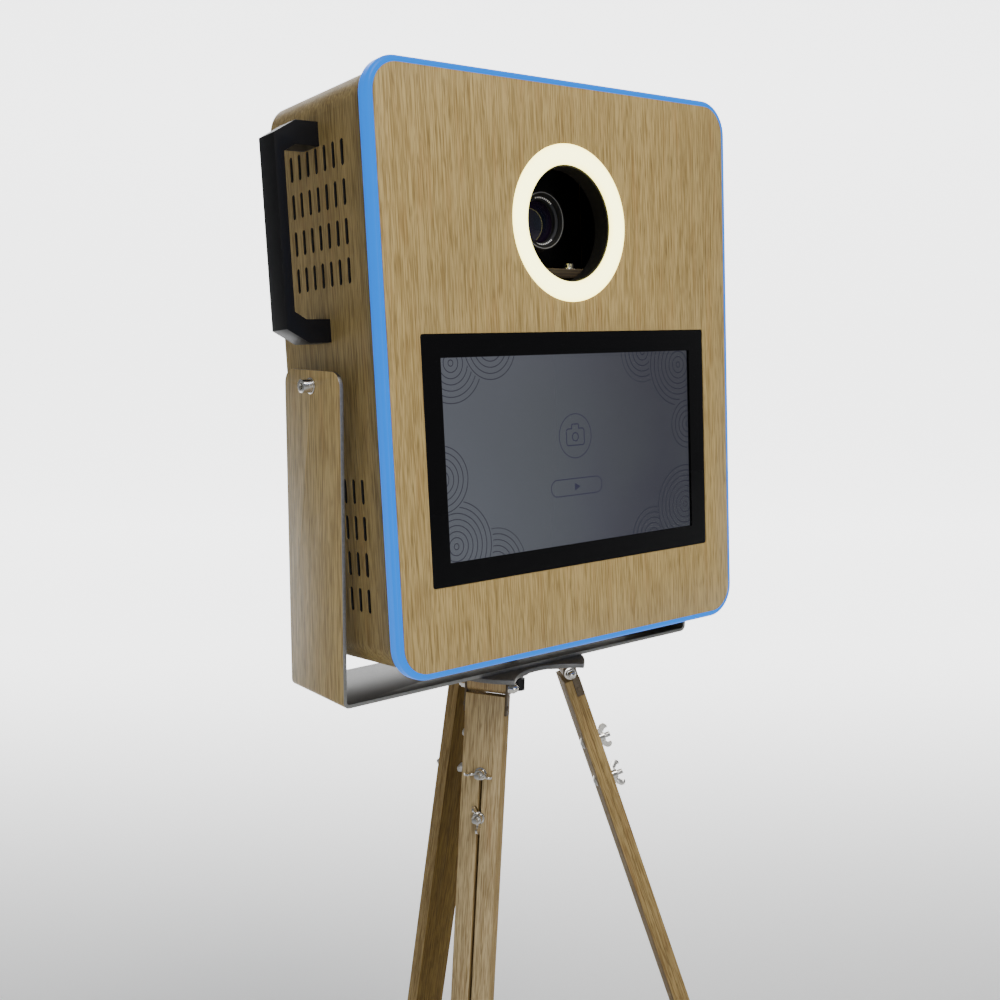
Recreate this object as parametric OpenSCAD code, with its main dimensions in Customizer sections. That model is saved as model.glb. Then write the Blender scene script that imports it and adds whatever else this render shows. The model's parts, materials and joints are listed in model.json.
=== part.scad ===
// Touch-screen photo booth: a camera cabinet that tilts in a steel yoke,
// and pans on a wooden tripod. Millimetres, +Z up, the screen faces -Y.

/* [Cabinet] */
// Width of the front panel
panel_w = 464; // [440:1:560]
// Height of the front panel
panel_h = 554; // [520:1:670]
// Depth of the cabinet, from the panel's face to the rear panel's face
cabinet_depth = 180; // [175:1:220]
// Corner radius of the front panel and of the shell
corner_r = 28; // [20:1:40]
// Thickness of the front panel, the shell and the rear panel
sheet_t = 3; // [2:0.5:4]
// Width of the flange that is folded in at the shell's front edge
front_flange = 24; // [20:1:30]
// Width of the flange that is folded in at the shell's rear edge
rear_flange = 16; // [12:1:20]

/* [Edge light] */
// How far the glowing edge stands out beyond the panel
edge_out = 6.5; // [4:0.5:9]
// Depth of the glowing edge along Y, behind the panel's lip
edge_depth = 14; // [10:0.5:18]
// How far the diffuser reaches in behind the panel
edge_in = 10; // [6:0.5:12]

/* [Ring light] */
// Height of the ring's centre above the panel's centre
ring_z = 146.4; // [140:0.1:180]
// Outer diameter of the lit ring
ring_od = 152.8; // [130:0.1:175]
// Inner diameter of the lit ring, the camera's window
ring_id = 113.6; // [95:0.1:125]
// Depth of the ring's tray behind the panel
tray_depth = 18.5; // [14:0.5:20]

/* [Screen] */
// Width of the screen's visible image
image_w = 344.2; // [300:0.1:380]
// Height of the screen's visible image
image_h = 193.6; // [165:0.1:214]
// Width of the black border of the glass around the image
bezel = 22; // [16:0.5:26]
// Height of the screen's centre relative to the panel's centre
screen_z = -78.4; // [-100:0.1:-70]
// Thickness of the touch glass
glass_t = 3; // [2:0.5:4]
// Depth of the monitor's metal case
case_depth = 28; // [22:1:36]

/* [Camera] */
// Distance from the panel's face to the front of the lens
lens_recess = 40; // [32:1:46]
// Length of the lens
lens_len = 62; // [55:1:72]
// Diameter of the lens barrel
lens_d = 58; // [52:1:66]
// Height of the lens axis above the shelf
lens_height = 50; // [48:1:54]
// Height of the lens axis above the ring's centre
lens_rise = 9; // [6:0.5:12]
// Thickness of the plywood shelf
shelf_t = 9; // [6:0.5:12]

/* [Vents] */
// Length of one vent slot
vent_len = 24; // [18:1:28]
// Width of one vent slot
vent_w = 5.6; // [4:0.1:7]
// Distance between columns of slots
vent_pitch_y = 15.07; // [12:0.01:16]
// Distance between rows of slots
vent_pitch_z = 35.3; // [30:0.1:38]
// Distance from the panel's face to the first column
vent_first_y = 54.8; // [50:0.1:60]
// Height of the inner end of a group above or below the centre
vent_inner_z = 91; // [88:1:100]

/* [Handles] */
// Height of a handle
handle_h = 203; // [170:1:245]
// How far a handle stands out from the side
handle_out = 48.5; // [40:0.5:58]
// Width of a handle along Y
handle_w = 28; // [22:1:34]
// Thickness of the grip
grip_t = 10; // [8:0.5:12]
// Height of a handle's foot where it meets the side
handle_foot = 22; // [18:1:26]
// Height of a handle's lower end above the panel's centre
handle_z = 40; // [38:1:50]
// Distance from the panel's face to a handle's front edge
handle_y = 92; // [85:1:100]

/* [Yoke] */
// Width of the yoke's strap
strap_w = 100; // [80:1:120]
// Thickness of the yoke's strap
strap_t = 4; // [3:0.5:5]
// Gap between the cabinet's side and the yoke's arm
yoke_gap = 15; // [12:0.5:20]
// Gap under the cabinet, between its bottom and the strap
under_gap = 33.8; // [28:0.1:50]
// Distance from the panel's face to the tilt axis
pivot_y = 103.6; // [90:0.1:110]
// How far the tilt axis stands behind the pan axis
tilt_back = 8.5; // [5:0.5:12]
// How far an arm reaches above the tilt axis
arm_top = 14.8; // [12:0.1:18]
// Backward lean of the cabinet
lean = 5.35; // [0:0.05:10]

/* [Tripod] */
// Height of the head's top above the floor
head_z = 960; // [850:1:1150]
// Distance from the pan axis to each leg hinge
hinge_r = 66; // [60:1:80]
// Angle of the left leg from the vertical
splay_left = 6; // [5:0.1:20]
// Angle of the right leg from the vertical
splay_right = 19.9; // [13:0.1:24]
// Angle of the rear leg from the vertical
splay_rear = 10.2; // [8.5:0.1:20]
// Width of a leg board
board_w = 45; // [37:1:54]
// Thickness of a leg board
board_t = 9; // [7:0.5:11]
// Length of an upper board
upper_len = 608; // [500:1:730]
// Distance from the hinge to the first clamp bolt
clamp_s = 97; // [90:1:110]
// Distance between the two clamp bolts
clamp_pitch = 50; // [42:1:60]
// How far a leg extends
leg_travel = 300; // [240:1:360]

/* [Fits] */
// Gap between pieces that slide or turn past each other
gap = 0.3; // [0.2:0.05:0.5]
// Radial clearance of a shaft in its bore
fit = 0.05; // [0.02:0.01:0.1]

/* [Hidden] */
$fn = 64;
eps = 0.01;
// Screw and bolt radii
m4 = 2;
m5 = 2.5;
m6 = 3;
m8 = 4;
m10 = 5;
wall_x = panel_w / 2 - sheet_t;          // inner face of the shell's side
floor_z = -panel_h / 2 + sheet_t;        // inner face of the shell's bottom
shell_y0 = sheet_t + edge_depth - 2.4;   // front edge of the shell
shell_y1 = cabinet_depth - sheet_t;      // rear edge of the shell
flange_y = shell_y0 + sheet_t;           // rear face of the front flange
boss_u = -18;                            // screw line, measured from the panel's edge
SIDE_SCREWS = [-0.36, -0.154, 0.154, 0.36];  // heights of the side screws, as shares of panel_h
END_SCREWS = 0.26;                       // places of the top and bottom screws, in panel_w
glass_w = image_w + 2 * bezel + 0.8;
glass_h = image_h + 2 * bezel - 0.4;
glass_y = 0.5;
case_y0 = glass_y + glass_t;
case_y1 = case_y0 + case_depth;
case_w = glass_w - 5;
case_h = glass_h - 5;
ring_ro = ring_od / 2;
ring_ri = ring_id / 2;
lens_z = ring_z + lens_rise;
shelf_z = lens_z - lens_height;          // top of the shelf
shelf_y0 = sheet_t + tray_depth + 2.5;
cam_y = lens_recess + lens_len;          // front face of the camera's body
camera_top = lens_z + lens_height - 21;
button_x = -49;
button_z = lens_z + 19.5;                // foot of the shutter button
button_r = 5;
button_out = 3.5;                        // how far the shutter button stands out
arm_x = panel_w / 2 + yoke_gap;          // inner face of an arm
strap_drop = panel_h / 2 + under_gap + strap_t;
pivot_z = head_z + gap + strap_drop;
head_t = 5;
cheek_t = 2;
cheek_r = 8;
hinge_z = head_z - head_t - cheek_r - 0.5;
lug_r = 7.5;
board_s0 = 9;                            // start of the upper board below the hinge
lower_s0 = board_s0 + 1;                 // start of the lower board below the hinge
boot_wall = 4;
boot_len = 46;
boot_w = board_w + 2 * boot_wall;
bolt_flat = 3.6;                         // across the flats of a clamp bolt's shank
slide_fit = 0.2;                         // clearance of those flats in the slot
LEGS = [-150, -30, 90];                  // directions of the left, right and rear leg
SPLAY = [splay_left, splay_right, splay_rear];
NUT_TURNS = [[90, 12], [8, -8], [20, 70]];  // how each leg's upper and lower wing nut stands
// End of a lower board, just above the floor, and the outermost line of its boot on the floor
function leg_end(i) = (hinge_z - 12) / cos(SPLAY[i]);
function foot_out(i) =
  hinge_r + hinge_z * tan(SPLAY[i]) + (boot_wall - gap) / cos(SPLAY[i]);
// The model's box is centred between the handles or boots in X, and between the boots in Y
side_out = panel_w / 2 + handle_out;
boot_x = boot_w / 2 * sin(30);
boot_y = boot_w / 2 * cos(30);
high_x = max(side_out, foot_out(1) * cos(30) + boot_x);
low_x = -max(side_out, foot_out(0) * cos(30) + boot_x);
low_y = -max(foot_out(0), foot_out(1)) * sin(30) - boot_y;
origin_x = -(high_x + low_x) / 2;
origin_y = -(foot_out(2) + low_y) / 2;
door_w = 396;
door_h = 416;
door_z = 50;
door_y = cabinet_depth + gap;
hinge_x = -(door_w / 2 + 8);
pin_y = cabinet_depth + 4.6;
knuckle_r = 4;
knuckle_h = 20;
fan_x = -115;
service_z = door_z - door_h / 2 - 53;    // centre line of the inlet and the fan
fan_size = 60;
inlet_x = 115;

// ---- shared shapes ----

// A rectangle with round corners, centred
module round_rect(w, h, r) {
  square([w - 2 * r, h], center = true);
  square([w, h - 2 * r], center = true);
  for (x = [-1, 1], z = [-1, 1])
    translate([x * (w / 2 - r), z * (h / 2 - r)]) circle(r = r);
}

// A slot with round ends, its length along the second axis
module slot(l, w) {
  square([w, l - w], center = true);
  for (s = [-1, 1]) translate([0, s * (l - w) / 2]) circle(r = w / 2);
}

// Stands a flat XZ drawing up, from y to y + t
module stand(y, t) {
  translate([0, y + t, 0]) rotate([90, 0, 0]) linear_extrude(height = t) children();
}

// A cylinder along Y that starts at y
module rod_y(x, y, z, r, l) {
  translate([x, y + l, z]) rotate([90, 0, 0]) cylinder(r = r, h = l);
}

// A cylinder along X that starts at x
module rod_x(x, y, z, r, l) {
  translate([x, y, z]) rotate([0, 90, 0]) cylinder(r = r, h = l);
}

// A box given by its low corner and its size
module block(x, y, z, size) {
  translate([x, y, z]) cube(size);
}

// Carries a cross-section round a rectangle with round corners.
// The section's x is the distance out from the edge, its y is the depth.
module round_frame(w, h, r) {
  for (a = [0, 90]) {
    long = a == 0 ? h - 2 * r : w - 2 * r;
    half = a == 0 ? w / 2 : h / 2;
    for (s = [0, 180])
      rotate([0, a + s, 0])
        translate([half, 0, -long / 2]) linear_extrude(height = long) children();
  }
  for (c = [0 : 3]) {
    sx = c == 0 || c == 3 ? 1 : -1;
    sz = c < 2 ? 1 : -1;
    translate([sx * (w / 2 - r), 0, sz * (h / 2 - r)])
      rotate([90, 0, 0]) mirror([0, 0, 1]) rotate([0, 0, 90 * c])
        rotate_extrude(angle = 90) translate([r, 0]) children();
  }
}

// Puts a piece drawn in the cabinet's own frame where the cabinet hangs
module in_cabinet() {
  in_yoke() rotate([-lean, 0, 0]) translate([0, -pivot_y, 0]) children();
}

// Puts a piece drawn in the yoke's frame, with the tilt axis as its origin
module in_yoke() {
  translate([origin_x, origin_y + tilt_back, pivot_z]) children();
}

// Puts a piece drawn along a leg where leg i stands: x is outward,
// y is across the leg, -z runs down the leg from its hinge
module on_leg(i) {
  translate([origin_x, origin_y, 0]) rotate([0, 0, LEGS[i]])
    translate([hinge_r, 0, hinge_z]) rotate([0, -SPLAY[i], 0]) children();
}

// Places the screws that hold the front panel to the shell
module at_panel_screws() {
  for (x = [-1, 1], share = SIDE_SCREWS)
    translate([x * (panel_w / 2 + boss_u), 0, share * panel_h]) children();
  for (x = [-END_SCREWS, END_SCREWS], z = [-1, 1])
    translate([x * panel_w, 0, z * (panel_h / 2 + boss_u)]) children();
}

// ---- cabinet ----

// Wood-faced sheet with welded bosses behind it
module front_panel() {
  color("#b08d57") in_cabinet() {
    stand(0, sheet_t) difference() {
      round_rect(panel_w, panel_h, corner_r);
      translate([0, ring_z]) circle(r = ring_ro + gap / 2);
      translate([0, screen_z]) round_rect(glass_w + 2 * gap, glass_h + 2 * gap, 3);
    }
    at_panel_screws() difference() {
      rod_y(0, sheet_t, 0, 4.5, shell_y0 - sheet_t);
      rod_y(0, sheet_t + 1, 0, m4 + fit, shell_y0);
    }
  }
}

// Section of the glowing edge: a lip round the panel and a band behind it
module edge_section() {
  lip_y = sheet_t - 2.4;
  front_r = 4;
  rear_r = 1.5;
  difference() {
    union() {
      translate([-edge_in, sheet_t]) square([edge_in + edge_out - front_r, shell_y0 - sheet_t]);
      translate([gap / 2, lip_y]) square([edge_out - gap / 2 - front_r, 4]);
      translate([0, lip_y + front_r])
        square([edge_out, shell_y0 - lip_y - front_r - rear_r]);
      translate([0, shell_y0 - rear_r - 1]) square([edge_out - rear_r, rear_r + 1]);
      translate([edge_out - front_r, lip_y + front_r]) circle(r = front_r);
      translate([edge_out - rear_r, shell_y0 - rear_r]) circle(r = rear_r);
    }
    // the panel's edge sits in this rebate
    translate([-edge_in - 1, -5]) square([edge_in + 1 + gap / 2, 5 + sheet_t]);
  }
}

module edge_light_diffuser() {
  color("#00a5ff") in_cabinet() round_frame(panel_w, panel_h, corner_r) edge_section();
}

// Lit tape on the diffuser's inner side
module edge_light_strip() {
  color("white") in_cabinet() round_frame(panel_w, panel_h, corner_r)
    translate([-edge_in - 1.4, sheet_t + 0.5]) square([1.4, shell_y0 - sheet_t - 1]);
}

// The slots of one side, as a flat drawing with Y across and Z up
module vent_field() {
  rows_h = 3 * vent_pitch_z + vent_len;
  for (s = [-1, 1], col = [0 : 6], row = [0 : 3])
    translate([vent_first_y + col * vent_pitch_y,
               s * (vent_inner_z + rows_h - vent_len / 2 - row * vent_pitch_z)])
      slot(vent_len, vent_w);
}

// Folded sheet tube with a flange at each end
module cabinet_shell() {
  in_w = panel_w - 2 * sheet_t;
  in_h = panel_h - 2 * sheet_t;
  in_r = corner_r - sheet_t;
  len = shell_y1 - shell_y0;
  color("#a8854f") in_cabinet() difference() {
    stand(shell_y0, len) round_rect(panel_w, panel_h, corner_r);
    stand(flange_y, len - 2 * sheet_t) round_rect(in_w, in_h, in_r);
    stand(shell_y0 - 1, len + 2)
      round_rect(panel_w - 2 * front_flange, panel_h - 2 * front_flange, 8);
    stand(shell_y1 - sheet_t - 1, sheet_t + 2)
      round_rect(panel_w - 2 * rear_flange, panel_h - 2 * rear_flange, 14);
    translate([-panel_w, 0, 0]) rotate([90, 0, 90])
      linear_extrude(height = 2 * panel_w) vent_field();
    at_panel_screws() rod_y(0, shell_y0 - 1, 0, m4 + 0.2, sheet_t + 2);
    rod_x(-panel_w, pivot_y, 0, m8 + fit, 2 * panel_w);
    for (z = handle_screw_z()) rod_x(-panel_w, handle_mid_y(), z, m5 + 0.2, 2 * panel_w);
    at_rear_screws() rod_y(0, shell_y1 - sheet_t - 1, 0, m4 + fit, sheet_t + 2);
  }
}

module at_rear_screws() {
  for (x = [-1, 1], z = [-0.42, 0.04, 0.42])
    translate([x * (panel_w / 2 - 9), 0, z * panel_h]) children();
}

// Fixed sheet that closes the back round the door
module rear_panel() {
  vane_count = 6;
  color("#a8854f") in_cabinet() difference() {
    stand(shell_y1, sheet_t) difference() {
      round_rect(panel_w, panel_h, corner_r);
      translate([0, door_z]) round_rect(door_w - 16, door_h - 16, 6);
      translate([inlet_x, service_z]) square([48, 28], center = true);
      for (i = [0 : vane_count])
        translate([fan_x + (i - vane_count / 2) * 7.6, service_z])
          slot(2 * sqrt(625 - pow((i - vane_count / 2) * 7.2, 2)) + 2, 4);
      for (x = [-1, 1], z = [-1, 1])
        translate([fan_x + x * 25, service_z + z * 25]) circle(r = m4 + fit);
    }
    at_rear_screws() rod_y(0, shell_y1 - 1, 0, m4 + 0.2, sheet_t + 2);
  }
}

function handle_mid_y() = handle_y + handle_w / 2;
function handle_screw_z() =
  [handle_z + handle_foot / 2, handle_z + handle_h - handle_foot / 2];

// A pan-head screw along Y: its head starts at y, its shank runs towards dir
module screw_y(y, dir, r, len) {
  rod_y(0, dir > 0 ? y - 0.55 * 2 * r : y, 0, r * 1.85, 0.55 * 2 * r);
  rod_y(0, dir > 0 ? y : y - len, 0, r, len);
}

// Every screw of the cabinet: front panel, rear panel and handles
module cabinet_screws() {
  color("silver") in_cabinet() {
    at_panel_screws() screw_y(flange_y, -1, m4, 8);
    at_rear_screws() screw_y(cabinet_depth, -1, m4, 6 + sheet_t);
    for (x = [-1, 1], z = handle_screw_z()) {
      rod_x(x > 0 ? wall_x - 3 : -wall_x, handle_mid_y(), z, 4.6, 3);
      rod_x(x > 0 ? wall_x : -wall_x - 15, handle_mid_y(), z, m5, 15);
    }
  }
}

// ---- ring light ----

module ring_light_diffuser() {
  color("#fff2d0") in_cabinet() translate([0, 0, ring_z]) stand(-0.4, sheet_t + 0.4) difference() {
    circle(r = ring_ro);
    circle(r = ring_ri);
  }
}

// Ring board with its lamps standing forward
module ring_led_board() {
  board_y = sheet_t + tray_depth - 1.5 - 1.6;
  lamp_r = (ring_ro + ring_ri) / 2;
  color("white") in_cabinet() translate([0, 0, ring_z]) {
    stand(board_y, 1.6) difference() {
      circle(r = ring_ro - 3);
      circle(r = ring_ri + 2);
    }
    for (i = [0 : 23]) rotate([0, i * 15, 0]) block(lamp_r - 2.5, board_y - 1.4, -2.5, [5, 1.4, 5]);
  }
}

// Pressed channel that carries the ring's board and diffuser
module ring_light_tray() {
  outer = ring_ro + 2;
  color("#303236") in_cabinet() translate([0, 0, ring_z]) difference() {
    union() {
      stand(sheet_t, tray_depth) circle(r = outer);
      stand(sheet_t, 1.5) circle(r = outer + 7);
    }
    stand(sheet_t - 1, tray_depth - 0.5) difference() {
      circle(r = ring_ro - 1.5);
      circle(r = ring_ri + 1);
    }
    stand(sheet_t - 1, tray_depth + 2) circle(r = ring_ri - 1.5);
  }
}

// ---- touch monitor ----

module touch_glass() {
  color("#101214", 0.9) in_cabinet() translate([0, 0, screen_z])
    stand(glass_y, glass_t) round_rect(glass_w, glass_h, 3);
}

module screen_panel() {
  color("#5a6068") in_cabinet() translate([0, 0, screen_z])
    stand(case_y0 + 0.2, 5) square([image_w + 14, image_h + 14], center = true);
}

// Folded case, open at the front, with a row of slots in its back
module monitor_case() {
  wall = 1.5;
  color("#3a3c40") in_cabinet() translate([0, 0, screen_z]) difference() {
    stand(case_y0, case_depth) round_rect(case_w, case_h, 4);
    stand(case_y0 - 1, 7) square([image_w + 15, image_h + 15], center = true);
    stand(case_y0 + 5, case_depth - 5 - wall) square([case_w - 2 * wall, case_h - 2 * wall], center = true);
    for (i = [-6 : 6])
      translate([i * 12, 0, case_h / 2 - 40]) stand(case_y1 - wall - 1, wall + 2) slot(24, 4);
    for (x = [-1, 1], z = [-1, 1])
      translate([x * 50, 0, z * 50]) rod_y(0, case_y1 - wall - 1, 0, m4 + fit, wall + 2);
  }
}

// Rails that hold the monitor, and angles that hold the shelf
module inner_brackets() {
  rail_h = 20;
  rail_t = 3;
  reach = panel_w / 2 - 6;
  angle_l = 100;
  leg = 20;
  color("#2c2e31") in_cabinet() {
    for (z = [screen_z + 50, screen_z - 50]) difference() {
      union() {
        block(-reach, case_y1, z - rail_h / 2, [2 * reach, rail_t, rail_h]);
        for (x = [-reach, reach - rail_t])
          block(x, flange_y, z - rail_h / 2, [rail_t, case_y1 - flange_y + rail_t, rail_h]);
        for (x = [-reach, reach - 18])
          block(x, flange_y, z - rail_h / 2, [18, 2, rail_h]);
      }
      for (x = [-1, 1]) rod_y(x * 50, case_y1 - 1, z, m4 + 0.2, rail_t + 2);
    }
    for (x = [-1, 1]) {
      block(x > 0 ? wall_x - 2 : -wall_x, shelf_y0 + 14, shelf_z - shelf_t - leg, [2, angle_l, leg]);
      block(x > 0 ? wall_x - leg : -wall_x, shelf_y0 + 14, shelf_z - shelf_t - 2, [leg, angle_l, 2]);
    }
  }
}

// ---- camera ----

// Body with a grip on the left and a hump over the lens
module camera_body() {
  depth = 44;
  color("#1b1c1e") in_cabinet() difference() {
    union() {
      translate([0, 0, lens_z - 9]) stand(cam_y, depth) round_rect(128, 2 * lens_height - 18 - 6, 12);
      translate([button_x, 0, lens_z - 10]) stand(cam_y - 14, 16) round_rect(30, 2 * lens_height - 22, 9);
      translate([0, cam_y + depth, 0]) rotate([90, 0, 0]) linear_extrude(height = depth - 2)
        polygon([[-28, lens_z + 20], [28, lens_z + 20], [17, lens_z + 46], [-17, lens_z + 46]]);
      rod_y(0, cam_y - 2, lens_z, lens_d / 2 + 1, 4);
      block(-24, cam_y + 8, shelf_z, [48, 30, 7]);
    }
    // tripod thread in the base
    translate([0, cam_y + 23, shelf_z - 1]) cylinder(r = 3.2, h = 12);
    // seat of the shutter button
    translate([button_x, cam_y - 3, button_z - 1.5]) cylinder(r = button_r + gap, h = 20);
  }
}

module shutter_button() {
  color("#8a8d92") in_cabinet()
    translate([button_x, cam_y - 3, button_z])
      cylinder(r = button_r, h = camera_top + button_out - button_z);
}

// Lens tube: wide front rim, a waist under the zoom ring
module lens_barrel() {
  r = lens_d / 2;
  color("#202124") in_cabinet() translate([0, lens_recess, lens_z]) rotate([-90, 0, 0])
    rotate_extrude() polygon([
      [r - 4, 0], [r, 0], [r, 14], [r - 1.5, 15], [r - 1.5, 44], [r, 45],
      [r, lens_len - 2], [10, lens_len - 2], [10, 22], [r - 7, 10], [r - 5, 4]]);
}

module zoom_ring() {
  r = lens_d / 2;
  color("#2a2b2e") in_cabinet() translate([0, lens_recess + 15 + gap, lens_z]) rotate([-90, 0, 0])
    difference() {
      cylinder(r = r + 2, h = 29 - 2 * gap);
      translate([0, 0, -1]) cylinder(r = r - 1.5 + fit, h = 31);
      for (i = [0 : 35]) rotate([0, 0, i * 10]) translate([r + 2, 0, 4]) cylinder(r = 1, h = 20, $fn = 16);
    }
}

// Bulging front lens
module lens_front_element() {
  r = lens_d / 2 - 7.6;
  bulge = 5;
  ball = (r * r + bulge * bulge) / (2 * bulge);
  color("#22304a") in_cabinet() translate([0, lens_recess + 10, lens_z]) rotate([-90, 0, 0])
    rotate_extrude() intersection() {
      translate([0, ball - bulge]) circle(r = ball, $fn = 96);
      translate([0, -bulge - 1]) square([r, bulge + 1]);
    }
}

// Plywood shelf across the cabinet
module camera_shelf() {
  w = 2 * wall_x - 1;
  color("#c9a466") in_cabinet() difference() {
    block(-w / 2, shelf_y0, shelf_z - shelf_t, [w, cam_y + 50 - shelf_y0, shelf_t]);
    translate([0, cam_y + 23, shelf_z - shelf_t - 1]) cylinder(r = m6 + 0.6, h = shelf_t + 2);
    for (x = [-1, 1]) translate([x * 130, cam_y, shelf_z - shelf_t - 1]) cylinder(r = 20, h = shelf_t + 2);
  }
}

// Screw that holds the camera, and a hex bolt at the shelf's front edge
module camera_screw() {
  color("silver") in_cabinet() {
    translate([0, cam_y + 23, shelf_z - shelf_t - 5]) {
      cylinder(r = 9, h = 5);
      cylinder(r = 3, h = shelf_t + 5 + 9);
    }
    translate([26, shelf_y0 + 9, shelf_z]) {
      cylinder(r = 7, h = 1.4);
      cylinder(r = 5.6, h = 6, $fn = 6);
    }
  }
}

// ---- electrics ----

module mini_computer() {
  color("#26282b") in_cabinet() translate([-150, 42, floor_z]) difference() {
    translate([59, 59, 0]) linear_extrude(height = 38) round_rect(118, 118, 8);
    for (i = [0 : 5]) block(20 + i * 14, -1, 12, [8, 3, 14]);
    for (i = [0 : 8]) block(18 + i * 9.5, 20, 36, [4, 78, 3]);
  }
}

module power_supply() {
  color("#a9adb2") in_cabinet() translate([45, 55, floor_z]) difference() {
    cube([150, 90, 32]);
    for (i = [0 : 9]) block(22 + i * 11, 12, 30, [5, 66, 3]);
    block(-1, 8, 14, [15, 74, 20]);
  }
}

// Socket and switch frame in one moulding
module power_inlet() {
  color("#1d1e20") in_cabinet() translate([inlet_x, cabinet_depth, service_z]) {
    difference() {
      union() {
        stand(0, 2.5) round_rect(58, 36, 4);
        block(-23.8, -26, -13.8, [47.6, 26, 27.6]);
      }
      // socket
      block(-1, -16, -8.5, [22, 20, 17]);
      // switch well
      block(-20, -12, -10.5, [15, 16, 21]);
    }
    for (p = [[10, 3.5], [5, -3], [15, -3]]) block(p[0] - 1, -16, p[1] - 2, [2, 10, 4]);
  }
}

// Rocker, pivoted about X in the middle of its well
module rocker_switch() {
  color("#c43a2c") in_cabinet() translate([inlet_x - 12.5, cabinet_depth - 1.5, service_z])
    rotate([0, 90, 0]) linear_extrude(height = 15 - 2 * gap, center = true)
      polygon([[-9, 0.5], [-9, 2.4], [0, 1], [9, 5.4], [9, 3], [6, -6], [-6, -6]]);
}

module fan_frame() {
  half = fan_size / 2;
  color("#17181a") in_cabinet() translate([fan_x, 0, service_z]) {
    difference() {
      stand(shell_y1 - 15, 15) round_rect(fan_size, fan_size, 4);
      rod_y(0, shell_y1 - 16, 0, half - 2, 17);
      for (x = [-1, 1], z = [-1, 1]) rod_y(x * 25, shell_y1 - 16, z * 25, m4 + fit, 17);
    }
    for (i = [0 : 2]) rotate([0, i * 120, 0]) block(9, shell_y1 - 15, -1.5, [half - 10, 2, 3]);
    rod_y(0, shell_y1 - 15, 0, 11, 2);
    rod_y(0, shell_y1 - 13, 0, 1.5, 9);
  }
}

module fan_rotor() {
  tip = fan_size / 2 - 3.5;
  color("#2b2d30") in_cabinet() translate([fan_x, shell_y1 - 12.6, service_z]) rotate([-90, 0, 0])
    difference() {
      union() {
        cylinder(r = 12, h = 9.6);
        for (i = [0 : 6]) rotate([0, 0, i * 360 / 7]) translate([10, 0, 4.8]) rotate([38, 0, 0])
          translate([0, -5, -0.6]) cube([tip - 11, 10, 1.2]);
      }
      translate([0, 0, -1]) cylinder(r = 1.5 + fit, h = 9.8);
    }
}

// ---- rear door ----

module at_hinges() {
  for (z = [-130, 130]) translate([hinge_x, pin_y, door_z + z]) children();
}

module hinge_leaves_fixed() {
  color("silver") in_cabinet() at_hinges() {
    for (k = [-1, 1]) translate([0, 0, k * knuckle_h - knuckle_h / 2]) {
      cylinder(r = knuckle_r, h = knuckle_h);
      block(-6, cabinet_depth - pin_y, 0, [6, 1.5, knuckle_h]);
    }
    block(-22, cabinet_depth - pin_y, -1.5 * knuckle_h, [17, 1.5, 3 * knuckle_h]);
    translate([0, 0, -1.5 * knuckle_h]) cylinder(r = 1.5, h = 3 * knuckle_h);
  }
}

module hinge_leaves_door() {
  leaf_y = door_y + sheet_t - pin_y;
  color("silver") in_cabinet() at_hinges() difference() {
    union() {
      translate([0, 0, -knuckle_h / 2 + gap]) cylinder(r = knuckle_r, h = knuckle_h - 2 * gap);
      block(0, leaf_y, -knuckle_h / 2 + gap, [10, 1.5, knuckle_h - 2 * gap]);
      block(9.5, leaf_y, -1.5 * knuckle_h, [16, 1.5, 3 * knuckle_h]);
    }
    translate([0, 0, -knuckle_h]) cylinder(r = 1.5 + fit, h = 2 * knuckle_h);
  }
}

// Sheet door with a row of slots near its top
module rear_door() {
  color("#a8854f") in_cabinet() difference() {
    translate([0, 0, door_z]) stand(door_y, sheet_t) round_rect(door_w, door_h, 8);
    rod_y(lock_x(), door_y - 1, door_z, 8 + fit, sheet_t + 2);
    for (i = [-8 : 8])
      translate([i * vent_pitch_y, 0, door_z + door_h / 2 - 60])
        stand(door_y - 1, sheet_t + 2) slot(vent_len, vent_w);
  }
}

function lock_x() = door_w / 2 - 28;

// Key barrel and cam; the cam points up when it is unlocked
module door_lock() {
  color("silver") in_cabinet() translate([lock_x(), 0, door_z]) difference() {
    union() {
      rod_y(0, shell_y1 - 9, 0, 8, door_y + sheet_t - shell_y1 + 9);
      rod_y(0, door_y + sheet_t + 0.1, 0, 11, 2.4);
      rod_y(0, door_y + sheet_t - 0.5, 0, 8, 1);
      block(-6, shell_y1 - 9, 0, [12, 2.5, 32]);
    }
    block(-1, door_y + sheet_t + 0.5, -4, [2, 4, 8]);
  }
}

// ---- handles ----

// Angular loop with bevelled outer corners
module handle(side) {
  out = handle_out;
  top = handle_z + handle_h;
  bevel_x = 24;
  bevel_z = 13;
  in_x = out - grip_t;
  color("#17181a") in_cabinet() difference() {
    stand(handle_y, handle_w) mirror([side < 0 ? 1 : 0, 0]) translate([panel_w / 2, 0]) polygon([
      [0, handle_z], [out - bevel_x, handle_z], [out, handle_z + bevel_z],
      [out, top - bevel_z], [out - bevel_x, top], [0, top], [0, top - handle_foot],
      [in_x - 12, top - handle_foot], [in_x, top - handle_foot - 7],
      [in_x, handle_z + handle_foot + 7], [in_x - 12, handle_z + handle_foot],
      [0, handle_z + handle_foot]]);
    for (z = handle_screw_z())
      rod_x(side > 0 ? panel_w / 2 - 1 : -panel_w / 2 - 14, handle_mid_y(), z, m5 + fit, 15);
  }
}

// ---- yoke ----

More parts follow.
